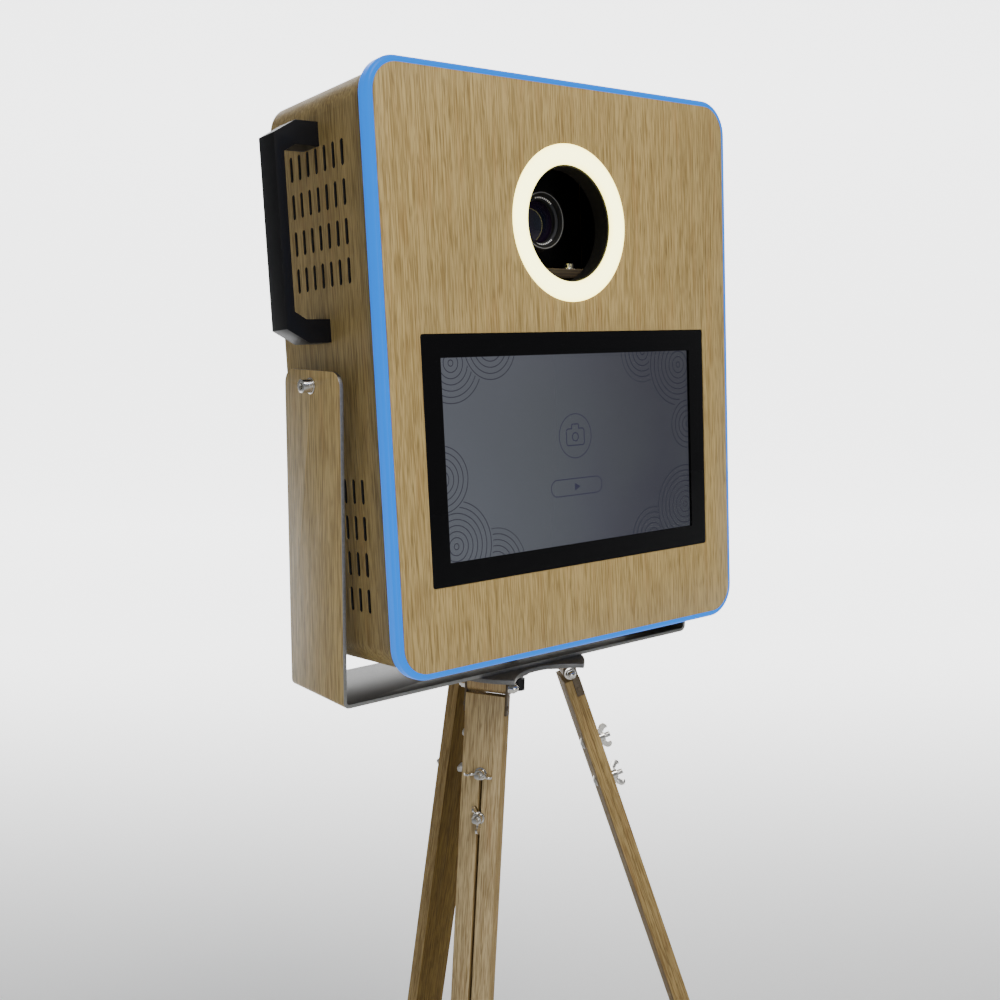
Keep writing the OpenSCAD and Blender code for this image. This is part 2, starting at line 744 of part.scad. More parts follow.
// Nut plates inside the shell at the tilt axis
module pivot_plates() {
  color("silver") in_cabinet() for (x = [-1, 1]) difference() {
    union() {
      block(x > 0 ? wall_x - 4 : -wall_x, pivot_y - 35, -35, [4, 70, 70]);
      translate([x > 0 ? wall_x - 10.5 : -wall_x + 4, pivot_y, 0]) rotate([0, 90, 0])
        cylinder(r = 7.5, h = 6.5, $fn = 6);
    }
    rod_x(-panel_w, pivot_y, 0, m8 + fit, 2 * panel_w);
  }
}

// Steel strap bent to a U
module yoke_strap() {
  bend = 7;
  top = arm_top;
  half = arm_x + strap_t;
  module arm_plan(w, low) {
    translate([0, top / 2 + low / 2 + bend / 2]) square([2 * w, top - low - bend], center = true);
    translate([0, low + bend / 2]) square([2 * (w - bend), bend], center = true);
    for (x = [-1, 1]) translate([x * (w - bend), low + bend]) circle(r = bend);
  }
  color("#b08d57") in_yoke() difference() {
    stand(-strap_w / 2, strap_w) difference() {
      arm_plan(half, -strap_drop);
      translate([0, 1]) arm_plan_inner(half - strap_t, -strap_drop + strap_t - 1, bend - strap_t);
    }
    // round top corners of the arms
    for (y = [-1, 1]) difference() {
      block(-half - 1, y > 0 ? strap_w / 2 - 15 : -strap_w / 2 - 1, top - 15, [2 * half + 2, 16, 16]);
      rod_x(-half - 2, y * (strap_w / 2 - 15), top - 15, 15, 2 * half + 4);
    }
    rod_x(-half - 1, 0, 0, m8 + fit, 2 * half + 2);
    translate([0, -tilt_back, -strap_drop - 1]) cylinder(r = m10 + fit, h = strap_t + 2);
  }
}

// The strap's inner outline: straight sides, round lower corners
module arm_plan_inner(w, low, r) {
  translate([0, (arm_top + low + r) / 2 + 1]) square([2 * w, arm_top - low - r + 2], center = true);
  translate([0, low + r / 2]) square([2 * (w - r), r], center = true);
  for (x = [-1, 1]) translate([x * (w - r), low + r]) circle(r = r);
}

// Socket bolts, washers and spacer bushes at the tilt axis
module pivot_bolts() {
  face = arm_x + strap_t;
  reach = face - wall_x + 12;
  color("silver") in_yoke() for (s = [0, 180]) rotate([0, 0, s]) {
    difference() {
      union() {
        rod_x(face - reach, 0, 0, m8, reach + 3.6);
        rod_x(face + 3.6, 0, 0, 6.5, 8);
      }
      translate([face + 7, 0, 0]) rotate([0, 90, 0]) cylinder(r = 3.46, h = 5, $fn = 6);
    }
    difference() {
      union() {
        rod_x(face, 0, 0, 8, 1.6);
        rod_x(face + 1.6, 0, 0, 6.8, 2);
      }
      rod_x(face - 1, 0, 0, m8 + fit, 6);
    }
    difference() {
      rod_x(panel_w / 2 + gap, 0, 0, 10, yoke_gap - gap);
      rod_x(panel_w / 2, 0, 0, m8 + fit, yoke_gap + 1);
    }
  }
}

// Carriage bolt through the strap, the pan axis
module swivel_bolt() {
  color("silver") in_yoke() translate([0, -tilt_back, -strap_drop + strap_t]) {
    difference() {
      cylinder(r = 11, h = 5);
      translate([0, 0, 2]) cylinder(r = 4.6, h = 4, $fn = 6);
    }
    translate([0, 0, -35]) cylinder(r = m10, h = 35 + eps);
  }
}

// ---- tripod ----

// Cast plate with three lobes and a lug under each
module tripod_head() {
  waist = 47;
  cut_r = 70;
  lug_w = board_w - 0.4;
  color("#8d9094") translate([origin_x, origin_y, 0]) difference() {
    union() {
      translate([0, 0, head_z - head_t]) linear_extrude(height = head_t) difference() {
        circle(r = hinge_r + 20, $fn = 96);
        for (a = LEGS) rotate(a + 180) translate([waist + cut_r, 0]) circle(r = cut_r);
      }
      translate([0, 0, head_z - head_t - 12]) cylinder(r = 24, h = 13);
      for (a = LEGS) rotate([0, 0, a]) {
        block(hinge_r - lug_r, -lug_w / 2, hinge_z, [2 * lug_r, lug_w, head_z - hinge_z - 1]);
        translate([hinge_r, lug_w / 2, hinge_z]) rotate([90, 0, 0]) cylinder(r = lug_r, h = lug_w);
        block(20, -3, head_z - head_t - 10, [hinge_r - 22, 6, 11]);
      }
    }
    translate([0, 0, head_z - 60]) cylinder(r = m10 + fit, h = 70);
    for (a = LEGS) rotate([0, 0, a])
      translate([hinge_r, 50, hinge_z]) rotate([90, 0, 0]) cylinder(r = m6 + fit, h = 100);
  }
}

// Lobed clamping knob on the pan bolt
module pan_knob() {
  color("#17181a") translate([origin_x, origin_y, head_z - head_t - 12 - gap - 18]) difference() {
    union() {
      cylinder(r = 15, h = 18);
      for (i = [0 : 4]) rotate([0, 0, i * 72]) translate([14, 0, 0]) cylinder(r = 7, h = 13);
    }
    translate([0, 0, 4]) cylinder(r = m10 + fit, h = 20);
  }
}

// Outer board of a leg, with the long slot for its clamp bolts
module upper_board(i) {
  low = clamp_s + clamp_pitch + leg_travel + m6 + 0.9;
  high = clamp_s - m6 - 0.9;
  color("#b08d57") on_leg(i) difference() {
    block(0, -board_w / 2, -board_s0 - upper_len, [board_t, board_w, upper_len]);
    translate([-1, 0, -(low + high) / 2]) rotate([90, 0, 90])
      linear_extrude(height = board_t + 2) slot(low - high, bolt_flat + 2 * slide_fit);
  }
}

// Cheek plates, cross bolt and dome nuts of a leg
module leg_hinge(i) {
  cheek_len = 30;
  color("silver") on_leg(i) for (s = [0, 1]) mirror([0, s, 0]) {
    translate([0, board_w / 2 + cheek_t, 0]) rotate([90, 0, 0]) cylinder(r = cheek_r, h = cheek_t);
    block(0, board_w / 2, -cheek_len, [board_t - 1, cheek_t, cheek_len]);
    translate([0, board_w / 2 + cheek_t + 6, 0]) rotate([90, 0, 0]) cylinder(r = 5.8, h = 6, $fn = 6);
    translate([0, board_w / 2 + cheek_t + 1.4, 0]) rotate([90, 0, 0]) cylinder(r = 7, h = 1.4);
    intersection() {
      translate([0, board_w / 2 + cheek_t + 5, 0]) sphere(r = 4.8);
      block(-6, board_w / 2 + cheek_t + 5, -6, [12, 8, 12]);
    }
    translate([0, board_w / 2, 0]) rotate([90, 0, 0]) cylinder(r = m6, h = board_w / 2 + eps);
    translate([board_t / 2, board_w / 2 + cheek_t + 1.2, -cheek_len + 8])
      rotate([90, 0, 0]) cylinder(r = 2.8, h = 1.2);
  }
}

// Inner board of a leg, which slides down behind the outer one
module lower_board(i) {
  color("#b08d57") on_leg(i) difference() {
    block(-board_t - gap, -board_w / 2, -leg_end(i),
          [board_t, board_w, leg_end(i) - lower_s0]);
    for (s = [clamp_s, clamp_s + clamp_pitch]) rod_x(-board_t - 1, 0, -s, m6 + fit, board_t + 1);
  }
}

// Rubber boot, cut level with the floor
module boot(i) {
  color("#1a1a1b") difference() {
    on_leg(i) difference() {
      block(-board_t - gap - boot_wall, -boot_w / 2, -leg_end(i) - 30,
            [board_t + 2 * boot_wall, boot_w, boot_len + 30]);
      block(-board_t - gap, -board_w / 2, -leg_end(i), [board_t, board_w, boot_len + 10]);
    }
    translate([-1000, -1000, -200]) cube([2000, 2000, 200]);
  }
}

// Two carriage bolts, heads on the leg's inner face
module clamp_bolts(i) {
  color("silver") on_leg(i) for (s = [clamp_s, clamp_s + clamp_pitch]) translate([0, 0, -s]) {
    difference() {
      rod_x(-board_t - gap - eps, 0, 0, m6, board_t + gap + board_t + 15);
      for (m = [0, 1]) mirror([0, m, 0])
        block(-gap, bolt_flat / 2, -m6 - 1, [board_t + 2 * gap, m6, 2 * m6 + 2]);
    }
    intersection() {
      translate([-board_t - gap + 6.2, 0, 0]) sphere(r = 9.2);
      rod_x(-board_t - gap - 3.2, 0, 0, 7, 3.2);
    }
  }
}

// Wing nut with its washer; its hub turns on the bolt
module wing_nut(i, k) {
  s = clamp_s + k * clamp_pitch;
  color("silver") on_leg(i) translate([board_t + gap, 0, -s]) rotate([0, 90, 0])
    rotate([0, 0, NUT_TURNS[i][k]]) difference() {
      union() {
        cylinder(r = 7, h = 1.4);
        cylinder(r = 5.4, h = 8);
        for (m = [0, 1]) mirror([m, 0, 0]) translate([0, 1.2, 0]) rotate([90, 0, 0])
          linear_extrude(height = 2.4) wing_outline();
      }
      translate([0, 0, -1]) cylinder(r = m6 + fit, h = 12);
    }
}

// One curved wing, rising away from the hub
module wing_outline() {
  difference() {
    union() {
      translate([4, 2.2]) square([7, 5]);
      translate([11.5, 9.5]) circle(r = 4.6);
      translate([7, 4]) square([6, 5.5]);
    }
    translate([6, 12.5]) circle(r = 4);
  }
}

front_panel();
edge_light_diffuser();
edge_light_strip();
cabinet_shell();
rear_panel();
cabinet_screws();
ring_light_diffuser();
ring_led_board();
ring_light_tray();
touch_glass();
screen_panel();
monitor_case();
inner_brackets();
camera_body();
lens_barrel();
lens_front_element();
camera_shelf();
camera_screw();
mini_computer();
power_supply();
power_inlet();
handle(-1);  // handle_left
handle(1);  // handle_right
fan_frame();
hinge_leaves_fixed();
pivot_plates();
rocker_switch();
fan_rotor();
rear_door();
hinge_leaves_door();
door_lock();
zoom_ring();
shutter_button();
yoke_strap();
pivot_bolts();
swivel_bolt();
tripod_head();
pan_knob();
upper_board(0);  // upper_board_left
upper_board(1);  // upper_board_right
upper_board(2);  // upper_board_rear
leg_hinge(0);  // leg_hinge_left
leg_hinge(1);  // leg_hinge_right
leg_hinge(2);  // leg_hinge_rear
lower_board(0);  // lower_board_left
lower_board(1);  // lower_board_right
lower_board(2);  // lower_board_rear
boot(0);  // boot_left
boot(1);  // boot_right
boot(2);  // boot_rear
clamp_bolts(0);  // clamp_bolts_left
clamp_bolts(1);  // clamp_bolts_right
clamp_bolts(2);  // clamp_bolts_rear
wing_nut(0, 0);  // wing_nut_left_top
wing_nut(0, 1);  // wing_nut_left_low
wing_nut(1, 0);  // wing_nut_right_top
wing_nut(1, 1);  // wing_nut_right_low
wing_nut(2, 0);  // wing_nut_rear_top
wing_nut(2, 1);  // wing_nut_rear_low
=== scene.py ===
"""Looks of the photo booth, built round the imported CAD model. Metres, +Z up, screen to -Y."""

import json
import math

import bmesh
import bpy
from mathutils import Matrix, Vector


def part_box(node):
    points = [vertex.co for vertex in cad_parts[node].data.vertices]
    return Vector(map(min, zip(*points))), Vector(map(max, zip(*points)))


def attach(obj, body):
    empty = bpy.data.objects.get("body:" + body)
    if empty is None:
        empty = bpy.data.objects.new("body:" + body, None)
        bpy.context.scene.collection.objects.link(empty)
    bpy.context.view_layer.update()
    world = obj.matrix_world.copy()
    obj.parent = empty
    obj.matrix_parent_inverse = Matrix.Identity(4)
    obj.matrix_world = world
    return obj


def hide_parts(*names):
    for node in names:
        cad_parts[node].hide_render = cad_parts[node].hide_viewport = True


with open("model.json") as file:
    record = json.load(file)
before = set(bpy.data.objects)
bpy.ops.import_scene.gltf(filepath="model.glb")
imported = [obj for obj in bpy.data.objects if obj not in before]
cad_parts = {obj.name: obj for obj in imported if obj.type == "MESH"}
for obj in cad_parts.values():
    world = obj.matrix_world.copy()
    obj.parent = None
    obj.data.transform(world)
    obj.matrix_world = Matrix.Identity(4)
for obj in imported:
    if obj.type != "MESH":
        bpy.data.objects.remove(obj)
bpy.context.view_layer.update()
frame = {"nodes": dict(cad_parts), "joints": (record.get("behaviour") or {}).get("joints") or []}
nodes = frame["nodes"]
joints = {j["name"]: j for j in frame["joints"]}

# ---------------------------------------------------------------------------
# Camera, floor and light
# A standing person's view of the booth from its left front, in a pale studio with soft lamps.
# Every place is measured from the tilt axis, which is the booth's middle. The paper of the floor
# glows as a painted light: dark round the booth, bright where it stands at the back of the studio.
# ---------------------------------------------------------------------------
tilt_axis = Vector(joints["cabinet_tilt"]["pos_m"])
camera_data = bpy.data.cameras.new("camera")
camera_data.lens = 42.54
camera_data.sensor_width = 36
camera_data.shift_x = 0.0909
camera_data.shift_y = 0.0753
camera = bpy.data.objects.new("camera", camera_data)
bpy.context.scene.collection.objects.link(camera)
camera.location = tilt_axis + Vector((-0.8556, -0.9839, 0.0732))
camera.rotation_euler = Vector((0.5767, 0.7866, -0.2207)).to_track_quat("-Z", "Y").to_euler()
bpy.context.scene.camera = camera


def put_object(name, mesh):
    """Links a mesh to the scene as an object that sits at the origin."""
    made = bpy.data.objects.new(name, mesh)
    bpy.context.scene.collection.objects.link(made)
    return made


def mesh_from(verts, faces, name):
    mesh = bpy.data.meshes.new(name)
    mesh.from_pydata([tuple(v) for v in verts], [], faces)
    mesh.update()
    return mesh


def soft_lamp(name, place, aim, size, watts, colour=(1, 1, 1)):
    lamp = bpy.data.lights.new(name, "AREA")
    lamp.shape = "RECTANGLE"
    lamp.size, lamp.size_y = size
    lamp.energy = watts
    lamp.color = colour
    made = bpy.data.objects.new(name, lamp)
    bpy.context.scene.collection.objects.link(made)
    made.location = tilt_axis + Vector(place)
    made.rotation_euler = (Vector(aim) - Vector(place)).to_track_quat("-Z", "Y").to_euler()


soft_lamp("key_lamp", (-0.30, -1.6, 2.2), (0, 0, 0.05), (1.2, 1.0), 52, (1.0, 0.96, 0.90))
soft_lamp("left_window", (-1.4, -2.9, 0.0), (0, 0, -0.3), (0.9, 1.8), 29, (0.98, 0.98, 1.0))
soft_lamp("top_lamp", (0.2, 0.6, 2.4), (0, 0, 0), (2.0, 2.0), 8)

world = bpy.data.worlds.new("studio")
world.use_nodes = True
world.node_tree.nodes["Background"].inputs["Color"].default_value = (0.95, 0.97, 1.0, 1)
world.node_tree.nodes["Background"].inputs["Strength"].default_value = 0.24
bpy.context.scene.world = world


def curved_floor(half, back, rise, bend):
    """A floor that curves up to a wall behind, as one sheet turned to face the camera."""
    rows = [(-back, 0.0)]
    steps = 16
    for i in range(steps + 1):
        turn = math.pi / 2 * i / steps
        rows.append((back - bend + bend * math.sin(turn), bend - bend * math.cos(turn)))
    rows.append((back, rise))
    to_camera = Matrix.Rotation(math.radians(-36.3), 4, "Z")
    verts = [to_camera @ Vector((x, y, z)) for y, z in rows for x in (-half, half)]
    faces = [(2 * i, 2 * i + 1, 2 * i + 3, 2 * i + 2) for i in range(len(rows) - 1)]
    return mesh_from(verts, faces, "floor")


floor = put_object("floor", curved_floor(half=13, back=9, rise=9, bend=3))
for face in floor.data.polygons:
    face.use_smooth = True


class Sock:
    """A socket in a material. Sums on it add Math nodes."""

    def __init__(self, finish, socket):
        self.finish = finish
        self.socket = socket

    def sum(self, operation, *others):
        return self.finish.node("ShaderNodeMath", {"operation": operation}, self, *others)

    def __add__(self, other):
        return self.sum("ADD", other)

    def __sub__(self, other):
        return self.sum("SUBTRACT", other)

    def __rsub__(self, other):
        return self.finish.node("ShaderNodeMath", {"operation": "SUBTRACT"}, other, self)

    def __mul__(self, other):
        return self.sum("MULTIPLY", other)

    def __truediv__(self, other):
        return self.sum("DIVIDE", other)

    def __pow__(self, other):
        return self.sum("POWER", other)

    def __gt__(self, other):
        return self.sum("GREATER_THAN", other)

    def __lt__(self, other):
        return self.sum("LESS_THAN", other)

    def __abs__(self):
        return self.sum("ABSOLUTE")

    __radd__ = __add__
    __rmul__ = __mul__

    def mod(self, other):
        return self.sum("FLOORED_MODULO", other)

    def least(self, other):
        return self.sum("MINIMUM", other)

    def most(self, other):
        return self.sum("MAXIMUM", other)

    def ramp(self, low, high, start=0.0, stop=1.0):
        """Goes from start to stop as this goes from low to high, and stays there."""
        return self.finish.node("ShaderNodeMapRange", {"interpolation_type": "SMOOTHSTEP"},
                                self, low, high, start, stop)


class Finish:
    """One procedural material, written as sums on its sockets."""

    def __init__(self, name, place=None):
        self.material = bpy.data.materials.new(name)
        self.material.use_nodes = True
        self.tree = self.material.node_tree
        self.shader = self.tree.nodes["Principled BSDF"]
        coords = self.tree.nodes.new("ShaderNodeTexCoord")
        self.normal = coords.outputs["Normal"]
        self.point = Sock(self, coords.outputs["Object"])
        if place is not None:
            turn = place.to_euler()
            self.point = self.node("ShaderNodeMapping", {"vector_type": "TEXTURE"}, self.point,
                                   tuple(place.translation), (turn.x, turn.y, turn.z))
        parts = self.node("ShaderNodeSeparateXYZ", {}, self.point, out=None)
        self.x, self.y, self.z = (Sock(self, s) for s in parts.outputs)

    def node(self, kind, settings, *values, out=0, **named):
        """Adds a node: its settings first, then its sockets in order, then those by name."""
        made = self.tree.nodes.new(kind)
        for key, value in settings.items():
            setattr(made, key, value)
        pairs = list(zip(made.inputs, values)) + [(made.inputs[k], v) for k, v in named.items()]
        for socket, value in pairs:
            if isinstance(value, Sock):
                self.tree.links.new(value.socket, socket)
            elif value is not None:
                socket.default_value = value
        if out is None:
            return made
        return Sock(self, made.outputs[out])

    def facing(self, axis):
        """The surface normal's share along one axis."""
        return self.node("ShaderNodeSeparateXYZ", {}, Sock(self, self.normal), out=axis)

    def xyz(self, x, y, z):
        return self.node("ShaderNodeCombineXYZ", {}, x, y, z)

    def noise(self, point, scale=1.0, detail=2.0, rough=0.5):
        return self.node("ShaderNodeTexNoise", {}, Vector=point, Scale=scale, Detail=detail,
                         Roughness=rough)

    def mix(self, share, first, second, blend="MIX"):
        """Mixes two colours."""
        settings = {"data_type": "RGBA", "blend_type": blend}
        made = self.node("ShaderNodeMix", settings, share, out=None)
        for socket, value in ((made.inputs[6], first), (made.inputs[7], second)):
            if isinstance(value, Sock):
                self.tree.links.new(value.socket, socket)
            else:
                socket.default_value = (*value, 1)
        return Sock(self, made.outputs[2])

    def bump(self, height, distance, strength=1.0):
        return self.node("ShaderNodeBump", {}, Strength=strength, Distance=distance, Height=height)

    def finish(self, **sockets):
        """Sets or links the shader's own sockets, named with _ for a space."""
        for key, value in sockets.items():
            socket = self.shader.inputs[key.replace("_", " ")]
            if isinstance(value, Sock):
                self.tree.links.new(value.socket, socket)
            elif isinstance(value, tuple) and len(value) == 3:
                socket.default_value = (*value, 1)
            else:
                socket.default_value = value
        return self.material


# Painted light: the paper glows, dark on the floor round the booth and bright at the back, fading
# far to either side.
f = Finish("pale_paper")
glow = 1
for way, dark_at, bright_at in (((0.59, 0.81, 0), 0.3, 3.4), ((0.81, -0.59, 0), 9, 6),
                                ((-0.81, 0.59, 0), 7, 4)):
    along = f.node("ShaderNodeVectorMath", {"operation": "DOT_PRODUCT"}, f.point, way, out=1)
    glow = along.ramp(dark_at, bright_at) * glow
paper = f.finish(Base_Color=(0.80, 0.81, 0.82), Roughness=0.9, Emission_Strength=3.2,
                 Emission_Color=f.mix(glow, (0, 0, 0), (1, 1, 1)))
floor.data.materials.append(paper)

# ---------------------------------------------------------------------------
# Front panel
# Thin sheet faced with a fine straight-grained bamboo laminate, the grain upright.
# It is cut out for the ring light and the screen, and its cut edges are eased by hand.
# ---------------------------------------------------------------------------
lean = math.atan2(joints["rear_door_hinge"]["axis"][1], joints["rear_door_hinge"]["axis"][2])
face_to_axis = 0.1036
cabinet_place = (Matrix.Translation(tilt_axis) @ Matrix.Rotation(-lean, 4, "X")
                 @ Matrix.Translation((0, -face_to_axis, 0)))
upright_place = Matrix.Translation(tilt_axis)


def wear(f, amount=0.5):
    """Soft blotches of handling, from 0 to 1."""
    return f.noise(f.point, 9, 5, 0.62).ramp(0.5 - 0.3 * amount, 0.75)


def add_grain(f, across, side, along, dark, light, size=1.0):
    """Straight bamboo or oak grain of short streaks, fibres and pores. Gives colour and height."""
    sway = f.noise(f.xyz(across * 20, side * 20, along * 9), 1, 2) - 0.5
    across = across + sway * 0.0016 * size
    strips = f.noise(f.xyz(across * 120 / size, side * 120 / size, along * 1.1), 1, 1)
    streaks = f.noise(f.xyz(across * 400 / size, side * 400 / size, along * 14 / size), 1, 1)
    fibres = f.noise(f.xyz(across * 780 / size, side * 780 / size, along * 26 / size), 1, 2, 0.6)
    bands = f.noise(f.xyz(across * 26 / size, side * 26 / size, along * 1.6), 1, 3)
    pores = f.noise(f.xyz(across * 640 / size, side * 640 / size, along * 44 / size + 7), 1, 1)
    pore = pores.ramp(0.56, 0.70)
    tone = ((streaks - 0.5) * 0.8 + (fibres - 0.5) * 2.2 + (strips - 0.5) * 0.4
            + (bands - 0.5) * 0.25 + 0.55)
    colour = f.mix(tone.ramp(0.08, 0.92), dark, light)
    red_shift = f.noise(f.xyz(across * 90, side * 90, along * 9), 1, 2).ramp(0.52, 0.75)
    colour = f.mix(red_shift * 0.3, colour, (dark[0] * 1.35, dark[1] * 1.1, dark[2] * 1.05))
    colour = f.mix(pore * 0.5, colour, tuple(c * 0.55 for c in dark))
    height = fibres * 0.6 + streaks * 0.4 - pore * 0.7
    return colour, height


def wrapped_grain(f, dark, light):
    """Grain of a sheet that is upright on its sides and turns level where it folds over."""
    level = abs(f.facing(2)).ramp(0.68, 0.74)
    across = f.x * (1 - level) + f.z * level
    along = f.z * (1 - level) + f.x * level
    return add_grain(f, across, f.y, along, dark, light)


bamboo_dark = (0.275, 0.184, 0.062)
bamboo_light = (0.530, 0.384, 0.155)
f = Finish("bamboo_laminate", cabinet_place)
colour, height = wrapped_grain(f, bamboo_dark, bamboo_light)
panel_laminate = f.finish(Base_Color=colour, Roughness=0.40 + wear(f) * 0.12,
                          Specular_IOR_Level=0.32, Normal=f.bump(height, 0.00012, 0.6))


def dress(node, material):
    """Gives a CAD node its finish."""
    nodes[node].data.materials.clear()
    nodes[node].data.materials.append(material)


def clean_mesh(node):
    """A copy of a CAD node with its loose triangles joined into whole faces."""
    work = bmesh.new()
    work.from_mesh(nodes[node].data)
    bmesh.ops.remove_doubles(work, verts=work.verts, dist=2e-6)
    bmesh.ops.dissolve_limit(work, angle_limit=math.radians(1), verts=work.verts,
                             edges=work.edges, use_dissolve_boundaries=False)
    mesh = bpy.data.meshes.new(node + "_eased")
    work.to_mesh(mesh)
    work.free()
    return mesh


smooth_up_to = math.radians(35)


def settle(piece):
    """Turns an object's modifiers into plain mesh and shades it smooth up to an angle."""
    bpy.context.view_layer.update()
    graph = bpy.context.evaluated_depsgraph_get()
    mesh = bpy.data.meshes.new_from_object(piece.evaluated_get(graph), depsgraph=graph)
    piece.modifiers.clear()
    piece.data = mesh
    mesh.shade_smooth()
    mesh.set_sharp_from_angle(angle=smooth_up_to)


def eased(node, edge, material, body, steps=2):
    """A finished copy of a CAD node whose sharp edges are rounded, in place of the node."""
    piece = put_object(node + "_finished", clean_mesh(node))
    piece.data.materials.clear()
    piece.data.materials.append(material)
    bevel = piece.modifiers.new("edges", "BEVEL")
    bevel.width = edge
    bevel.segments = steps
    bevel.limit_method = "ANGLE"
    bevel.angle_limit = math.radians(32)
    bevel.use_clamp_overlap = True
    bevel.harden_normals = False
    settle(piece)
    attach(piece, body)
    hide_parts(node)


eased("front_panel", 0.0004, panel_laminate, "cabinet")

# ---------------------------------------------------------------------------
# Lit edge
# An acrylic band round the panel with a lit tape behind it. It glows an even blue,
# a little paler where the tape is nearest.
# ---------------------------------------------------------------------------
f = Finish("blue_acrylic", cabinet_place)
depth_share = f.y.ramp(0.001, 0.0146)
tape = f.noise(f.point, 60, 1).ramp(0.3, 0.7)
glow = f.mix(depth_share * 0.45 + tape * 0.08, (0.0, 0.275, 1.22), (0.0, 0.22, 1.04))
blue_acrylic = f.finish(Base_Color=(0.0, 0.01, 0.03), Roughness=0.35, Specular_IOR_Level=0.15,
                        Emission_Color=glow, Emission_Strength=1.0)
dress("edge_light_diffuser", blue_acrylic)

f = Finish("tape_backing", cabinet_place)
flecks = f.noise(f.point, 200, 3)
board_white = f.finish(Base_Color=f.mix(flecks, (0.62, 0.62, 0.6), (0.8, 0.8, 0.78)),
                       Roughness=0.5)
dress("edge_light_strip", board_white)

# ---------------------------------------------------------------------------
# Cabinet shell, rear panel and door
# One folded sheet in the same laminate as the panel, darkened with painted shade, pierced with rows
# of upright slots, and closed behind by a fixed sheet and a hinged door. The inside is painted
# dark.
# ---------------------------------------------------------------------------
shell_half_w = 0.232
shell_half_h = 0.277
shell_corner = 0.028
skin_depth = 0.0006
rear_face = (0.1785, 0.1802)
door_face = 0.1818
f = Finish("shaded_shell_laminate", cabinet_place)
# Painted shade: the shell's laminate is the panel's at 0.74 of its brightness, so the sides come
# out darker.
colour, height = wrapped_grain(f, tuple(0.74 * c for c in bamboo_dark),
                               tuple(0.74 * c for c in bamboo_light))
dx = (abs(f.x) - (shell_half_w - shell_corner)).most(0)
dz = (abs(f.z) - (shell_half_h - shell_corner)).most(0)
to_edge = shell_corner - (dx * dx + dz * dz) ** 0.5
behind = (f.y > rear_face[0]) * (f.y < rear_face[1])
outside = (to_edge < skin_depth).most(behind).most(f.y > door_face)
paint = f.mix(f.noise(f.point, 900, 3), (0.012, 0.012, 0.012), (0.03, 0.03, 0.03))
shaded_shell_laminate = f.finish(Base_Color=f.mix(outside, paint, colour), Specular_IOR_Level=0.3,
                          Roughness=0.6 - outside * (0.18 - wear(f) * 0.1),
                          Normal=f.bump(height * outside, 0.00012, 0.6))
dress("cabinet_shell", shaded_shell_laminate)
dress("rear_panel", shaded_shell_laminate)
eased("rear_door", 0.0008, shaded_shell_laminate, "rear_door")

# ---------------------------------------------------------------------------
# Screws, hinges and other plated hardware
# Zinc plated steel, faintly mottled and brushed.
# ---------------------------------------------------------------------------


def plated(name, dark, light, rough, place=None):
    f = Finish(name, place)
    spangle = f.noise(f.point, 420, 4, 0.6)
    lines = f.noise(f.xyz(f.x * 300, f.y * 300, f.z * 4200), 1, 2)
    return f.finish(Base_Color=f.mix(spangle, dark, light), Metallic=1.0,
                    Roughness=rough + (lines - 0.5) * 0.22,
                    Normal=f.bump(lines + spangle * 0.4, 0.00004, 0.5))


zinc = plated("zinc_plate", (0.32, 0.32, 0.31), (0.62, 0.61, 0.58), 0.30)
nickel = plated("bright_nickel", (0.48, 0.46, 0.42), (0.82, 0.80, 0.75), 0.16)
for node in ("cabinet_screws", "hinge_leaves_fixed", "hinge_leaves_door", "pivot_plates"):
    dress(node, zinc)
eased("door_lock", 0.0004, nickel, "door_lock")

# ---------------------------------------------------------------------------
# Ring light
# Opal acrylic ring over a channel with a ring of lamps. It is brightest along its middle
# and turns warmer at both rims. The tray behind is painted black.
# ---------------------------------------------------------------------------
ring_z = 0.1464
ring_inner = 0.0568
ring_outer = 0.0764
f = Finish("opal_acrylic", cabinet_place)
radius = (f.x * f.x + (f.z - ring_z) * (f.z - ring_z)) ** 0.5
middle = abs(radius - (ring_inner + ring_outer) / 2) / ((ring_outer - ring_inner) / 2)
warm = f.mix(middle.ramp(0.45, 1.0), (1.0, 0.97, 0.36), (1.0, 0.90, 0.26))
opal = f.finish(Base_Color=(0.8, 0.74, 0.62), Roughness=0.35, Emission_Color=warm,
                Emission_Strength=5.6)
eased("ring_light_diffuser", 0.0008, opal, "cabinet", 3)
dress("ring_led_board", board_white)

f = Finish("black_powder_coat", cabinet_place)
pits = f.noise(f.point, 1400, 3)
black_coat = f.finish(Base_Color=f.mix(pits, (0.004, 0.004, 0.004), (0.010, 0.009, 0.008)),
                      Roughness=0.6, Specular_IOR_Level=0.2, Normal=f.bump(pits, 0.00006, 0.5))
for node in ("ring_light_tray", "monitor_case", "inner_brackets"):
    dress(node, black_coat)

# ---------------------------------------------------------------------------
# Touch screen
# A sheet of glass with a printed black border over a dim grey display. Its grey carries a painted
# reflection,
# brighter towards the left and in soft patches, and is evened towards the top. The picture is
# plain:
# a camera sign in a ring, a start bar below it and sets of rings in the corners.
# ---------------------------------------------------------------------------
screen_z = -0.0784
image_half_w = 0.1721
image_half_h = 0.0968


def ring_line(f, x, z, radius, width):
    """1 on a thin ring round a point."""
    away = ((f.x - x) * (f.x - x) + (f.z - z) * (f.z - z)) ** 0.5
    return (abs(away - radius) < width / 2)


def ring_set(f, x, z, radius, pitch, width):
    """1 on each of a set of thin rings out to a radius, and the set's own disc."""
    away = ((f.x - x) * (f.x - x) + (f.z - z) * (f.z - z)) ** 0.5
    lines = abs(away.mod(pitch) - pitch / 2) < width / 2
    disc = away < radius
    return lines * disc, disc


def round_box(f, x, z, half_w, half_h, corner):
    """Distance out from a rectangle with round corners."""
    dx = (abs(f.x - x) - (half_w - corner)).most(0)
    dz = (abs(f.z - z) - (half_h - corner)).most(0)
    return (dx * dx + dz * dz) ** 0.5 - corner


